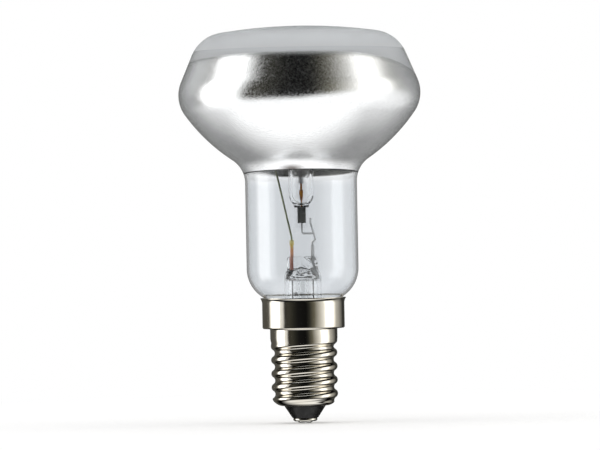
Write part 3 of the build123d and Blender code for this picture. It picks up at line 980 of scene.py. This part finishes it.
# Burner
# A quartz capsule, pinched flat at both ends on thin molybdenum foils. The coiled tungsten filament
# stands on the axis, and its lower leg carries a small getter sleeve.
burner_middle = 55.5 * mm
burner_half = 10.9 * mm
burner_radius = 2.6 * mm
burner_bore = 1.9 * mm
burner_wall = 0.7 * mm
pinch_half_width = 1.55 * mm
pinch_half_depth = 0.8 * mm
pinch_length = 4.3 * mm
pinch_blend = 0.35 * mm
blend_swell = pinch_blend / 8
burner_turns = 72
burner_steps = 130


def domed(distance, half_length, radius):
    """The radius of a round-ended tube at a distance from its middle."""
    past = abs(distance) - (half_length - radius)
    if past <= 0:
        return radius
    return sqrt(max(0, radius * radius - past * past))


def merged(first, second, blend):
    """The larger of two sizes, with a soft change from one to the other."""
    return (first + second + sqrt((first - second) ** 2 + blend * blend)) / 2


def burner_ring(distance):
    """A ring of the quartz skin at a distance from the middle of the burner."""
    tube = domed(distance, burner_half, burner_radius)
    if tube >= burner_radius:
        return turned_ring(burner_radius, burner_middle + distance, burner_turns)
    half_width = min(burner_radius, merged(tube, pinch_half_width, pinch_blend) - blend_swell)
    half_depth = min(burner_radius, merged(tube, pinch_half_depth, pinch_blend) - blend_swell)
    flatness = eased((abs(distance) - burner_half + burner_radius) / burner_radius)
    return flat_ring(half_width, half_depth, 2 + 2 * flatness, burner_middle + distance, burner_turns)


burner_reach = burner_half + pinch_length
burner_shares = [2 * step / burner_steps - 1 for step in range(burner_steps + 1)]
quartz_skin = skin_of_rings("burner_quartz", [burner_ring(burner_reach * share) for share in burner_shares])
chamber_half = burner_half - burner_wall
chamber_places = [chamber_half * sin(pi / 2 * share) for share in burner_shares[1:-1]]
chamber = turned_skin(
    "burner_chamber",
    [(domed(spot, chamber_half, burner_bore), burner_middle + spot) for spot in chamber_places],
    burner_turns,
    tips=(burner_middle - chamber_half, burner_middle + chamber_half),
)
chamber.data.flip_normals()
quartz_form = bmesh.new()
quartz_form.from_mesh(quartz_skin.data)
quartz_form.from_mesh(chamber.data)
quartz_form.to_mesh(quartz_skin.data)
quartz_form.free()
bpy.data.objects.remove(chamber)
# The quartz's edge tone is painted shade too.
quartz, quartz_shader = glass_finish(
    "quartz", ior=1.46, rough=(0.0, 0.03), through=grey(0.97), edge=grey(0.8)
)
raised(quartz_shader, grain=900, depth=0.05 * mm, strength=0.3)
quartz_skin.data.materials.append(quartz)
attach(quartz_skin, "root")
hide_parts("burner_tube")

molybdenum = wire_finish(
    "molybdenum_foil", dark=(0.34, 0.345, 0.33), light=(0.46, 0.465, 0.44), rough=(0.55, 0.75)
)
refinish("lower_foil", molybdenum)
refinish("upper_foil", molybdenum)
tungsten = wire_finish("tungsten_wire", dark=grey(0.10), light=(0.22, 0.21, 0.20), rough=(0.3, 0.5))
refinish("upper_filament_leg", tungsten)
sleeve = grained_finish(
    "getter_sleeve",
    {},
    tone={"grain": 1500, "dark": (0.22, 0.06, 0.01), "light": (0.75, 0.30, 0.03)},
    rough={"grain": 3000, "low": 0.4, "high": 0.7},
)
refinish("lower_filament_leg", sleeve)

coil_length = 12.0 * mm
coil_radius = 0.5 * mm
coil_wire = 0.045 * mm
coil_pitch = 0.2 * mm
coil_points_per_turn = 12
coil_points = round(coil_length / coil_pitch) * coil_points_per_turn
coil_line = bpy.data.curves.new("filament_coil", "CURVE")
coil_line.dimensions = "3D"
coil_line.bevel_depth = coil_wire
coil_line.bevel_resolution = 1
coil_path = coil_line.splines.new("POLY")
coil_path.points.add(coil_points)
for step in range(coil_points + 1):
    turn = 2 * pi * step / coil_points_per_turn
    height = burner_middle - coil_length / 2 + coil_length * step / coil_points
    coil_path.points[step].co = (coil_radius * cos(turn), coil_radius * sin(turn), height, 1)
coil = bpy.data.objects.new("filament_coil", coil_line)
scene.collection.objects.link(coil)
coil_line.materials.append(tungsten)
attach(coil, "root")
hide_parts("filament")


# Screw shell
# Brass sheet, drawn and rolled: the thread, a plain land, and a wider collar with a flared lip, all
# one sheet, plated with bright nickel. Its lower end is curled in over the insulator.
shell_wall = 0.3 * mm
shell_bottom = 3.55 * mm
shell_mouth = 4.3 * mm
curl_radius = 2.9 * mm
curl_blend = 0.25 * mm
thread_pitch = 2.822 * mm
thread_crest = 6.9 * mm
thread_depth = 0.8 * mm
thread_round = ((thread_pitch / 4) ** 2 + (thread_depth / 2) ** 2) / thread_depth
thread_start = 3.2 * mm
thread_runout = 1.5 * mm
thread_steps = 176
land_bottom = 17.15 * mm
land_radius = 6.95 * mm
land_flat_from = land_bottom + 0.4 * mm
land_fillet = 0.25 * mm
fillet_middle = 0.07 * mm
collar_bottom = 19.55 * mm
collar_radius = 8.5 * mm
collar_round = 0.35 * mm
collar_round_steps = 6
collar_flat_from = collar_bottom + 1.2 * mm
lip_bottom = 25.05 * mm
lip_radius = 8.86 * mm
lip_steps = 8
cap_top = 25.9 * mm
collar_flat_to = lip_bottom - 1.0 * mm
lip_flare_from = lip_bottom - 0.3 * mm
lip_flare_rise = cap_top - lip_bottom + 0.22 * mm
lip_edge = lip_radius - shell_wall / 2
lip_edge_half = 0.06 * mm
shell_turns = 180


def thread_radius(turn, height):
    """The rolled thread's radius: crests and grooves of one round, run out at the land."""
    along = (height - thread_start) / thread_pitch - turn / (2 * pi)
    off_crest = abs(along - round(along)) * thread_pitch
    if off_crest < thread_pitch / 4:
        sink = thread_round - sqrt(thread_round**2 - off_crest**2)
    else:
        off_groove = thread_pitch / 2 - off_crest
        sink = thread_depth - thread_round + sqrt(thread_round**2 - off_groove**2)
    runout = eased((land_bottom - height) / thread_runout)
    crest = land_radius + (thread_crest - land_radius) * runout
    return crest - sink * runout


def curl_limit(height):
    """How far out the curled lower end reaches at a height."""
    up = min(curl_radius, max(0, height - shell_bottom))
    return shell_mouth + sqrt(max(0, curl_radius**2 - (curl_radius - up) ** 2))


def thread_ring(height, inset):
    """A ring of the rolled thread, drawn in by inset: the smaller of the thread and the curl."""
    ring = []
    for turn in turns_round(shell_turns):
        rolled = -merged(-thread_radius(turn, height), -curl_limit(height), curl_blend)
        radius = max(rolled, shell_mouth) - inset
        ring.append((radius * cos(turn), radius * sin(turn), height))
    return ring


thread_rise = land_bottom - shell_bottom
thread_heights = [shell_bottom + thread_rise * (step / thread_steps) for step in range(thread_steps + 1)]
upper_form = [
    (land_radius, land_flat_from),
    (land_radius, collar_bottom - land_fillet),
    (land_radius + fillet_middle, collar_bottom - fillet_middle),
    (land_radius + land_fillet, collar_bottom),
]
for turn in quarter_turns(0, collar_round_steps) + [pi / 2]:
    round_out = collar_radius - collar_round + collar_round * sin(turn)
    upper_form.append((round_out, collar_bottom + collar_round * (1 - cos(turn))))
upper_form += [(collar_radius, collar_flat_from), (collar_radius, collar_flat_to)]
for step in range(lip_steps + 1):
    flare = (lip_radius - collar_radius) * (step / lip_steps) ** 2
    upper_form.append((collar_radius + flare, lip_flare_from + lip_flare_rise * step / lip_steps))
lip_top = [(lip_edge + lip_edge_half, cap_top), (lip_edge - lip_edge_half, cap_top)]
upper_inside = [(radius - shell_wall, height) for radius, height in upper_form[::-1]]
shell_rings = [thread_ring(height, 0) for height in thread_heights]
for radius, height in upper_form + lip_top + upper_inside:
    shell_rings.append(turned_ring(radius, height, shell_turns))
shell_rings += [thread_ring(height, shell_wall) for height in thread_heights[::-1]]
shell = skin_of_rings("screw_shell_plated", shell_rings, closed=True)
nickel = grained_finish(
    "bright_nickel",
    {"Metallic": 1},
    tone={"grain": 220, "dark": (0.66, 0.62, 0.54), "light": (0.74, 0.71, 0.64)},
    rough={"grain": 500, "low": 0.06, "high": 0.11},
    bump={"grain": 350, "depth": 0.03 * mm, "strength": 0.15},
)
shell.data.materials.append(nickel)
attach(shell, "root")
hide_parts("screw_shell")


# Insulator
# Black glass, cast hot into the lower end of the shell, which curls in round it, with a smooth cone
# down to the contact.
insulator_bottom = 1.05 * mm
insulator_tip = 2.7 * mm
insulator_seat = 5.5 * mm
insulator_seat_bottom = 5.4 * mm
insulator_top = 5.95 * mm
insulator_round = 0.2 * mm
insulator_step = 0.15 * mm
insulator_turns = 96
mouth_gap = 0.02 * mm
insulator_outline = [
    (insulator_tip - insulator_round, insulator_bottom),
    (insulator_tip - 0.06 * mm, insulator_bottom + 0.05 * mm),
    (insulator_tip + 0.06 * mm, insulator_bottom + 0.18 * mm),
    (shell_mouth - 0.1 * mm, shell_bottom - 0.13 * mm),
    (shell_mouth - mouth_gap, shell_bottom + mouth_gap),
    (shell_mouth - mouth_gap, shell_bottom + 0.4 * mm),
    (shell_mouth + 0.9 * mm, shell_bottom + 0.7 * mm),
    (insulator_seat, insulator_seat_bottom),
    (insulator_seat, insulator_top),
]
insulator = turned_skin(
    "cap_insulator_glass", even_steps(insulator_outline, insulator_step), insulator_turns
)
black_glass = grained_finish(
    "black_glass",
    {"Specular IOR Level": 0.2},
    tone={"grain": 700, "dark": grey(0.006), "light": grey(0.018)},
    rough={"grain": 900, "low": 0.05, "high": 0.12},
    bump={"grain": 500, "depth": 0.05 * mm, "strength": 0.3},
)
insulator.data.materials.append(black_glass)
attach(insulator, "root")
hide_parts("cap_insulator")


# Centre contact
# A small plated disc set in the black glass, with a spot of solder that closes the lead's hole. The
# same tin joins the side lead to the lip.
contact_turns = 72
contact_outline = [
    (1.35 * mm, 0.37 * mm),
    (2.1 * mm, 0.38 * mm),
    (2.36 * mm, 0.47 * mm),
    (2.48 * mm, 0.66 * mm),
    (2.5 * mm, 0.85 * mm),
    (2.42 * mm, 1.08 * mm),
]
contact = turned_skin("contact_disc", contact_outline, contact_turns)
contact_metal = wire_finish(
    "worn_contact", dark=(0.50, 0.48, 0.43), light=(0.66, 0.64, 0.58), rough=(0.10, 0.2)
)
contact.data.materials.append(contact_metal)
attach(contact, "root")
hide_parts("contact_plate")

solder_outline = [
    (0.6 * mm, 0.0),
    (1.05 * mm, 0.03 * mm),
    (1.35 * mm, 0.14 * mm),
    (1.48 * mm, 0.28 * mm),
    (1.5 * mm, 0.40 * mm),
]
solder = turned_skin("solder_spot", solder_outline, contact_turns)
tin = wire_finish("tin_solder", dark=(0.42, 0.42, 0.41), light=(0.58, 0.58, 0.56), rough=(0.15, 0.3))
solder.data.materials.append(tin)
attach(solder, "root")
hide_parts("contact_solder")
refinish("side_weld", tin)


# Capping cement
# Baked resin cement that holds the bulb in the cap, filled in between the glass and the collar and
# hidden by the lip.
cement_gap = 0.03 * mm
cement_lip_gap = 0.12 * mm
cement_top = cap_top - 0.25 * mm
cement_glass_top = cap_top - 0.3 * mm
cement_flares_from = lip_bottom - 0.4 * mm
cement_radius = collar_radius - shell_wall - cement_gap
cement_step = 0.3 * mm
cement_turns = 96
cement_outside = [
    (cement_radius, seal_bottom),
    (cement_radius, cement_flares_from),
    (lip_radius - shell_wall - cement_lip_gap, cement_top),
]
cement_inside = [
    (radius, height)
    for radius, height in bulb_section(-cement_gap)
    if seal_bottom <= height <= cement_glass_top and radius < lip_radius
]
cement_outline = even_steps(cement_outside + cement_inside[::-1], cement_step)
cement = turned_skin("cement_ring", cement_outline, cement_turns, closed=True)
baked = grained_finish(
    "baked_cement",
    {},
    tone={"grain": 1200, "dark": (0.30, 0.26, 0.20), "light": (0.52, 0.47, 0.39)},
    rough={"grain": 1500, "low": 0.75, "high": 0.95},
    bump={"grain": 2000, "depth": 0.1 * mm, "strength": 0.6},
)
cement.data.materials.append(baked)
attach(cement, "root")
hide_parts("capping_cement")
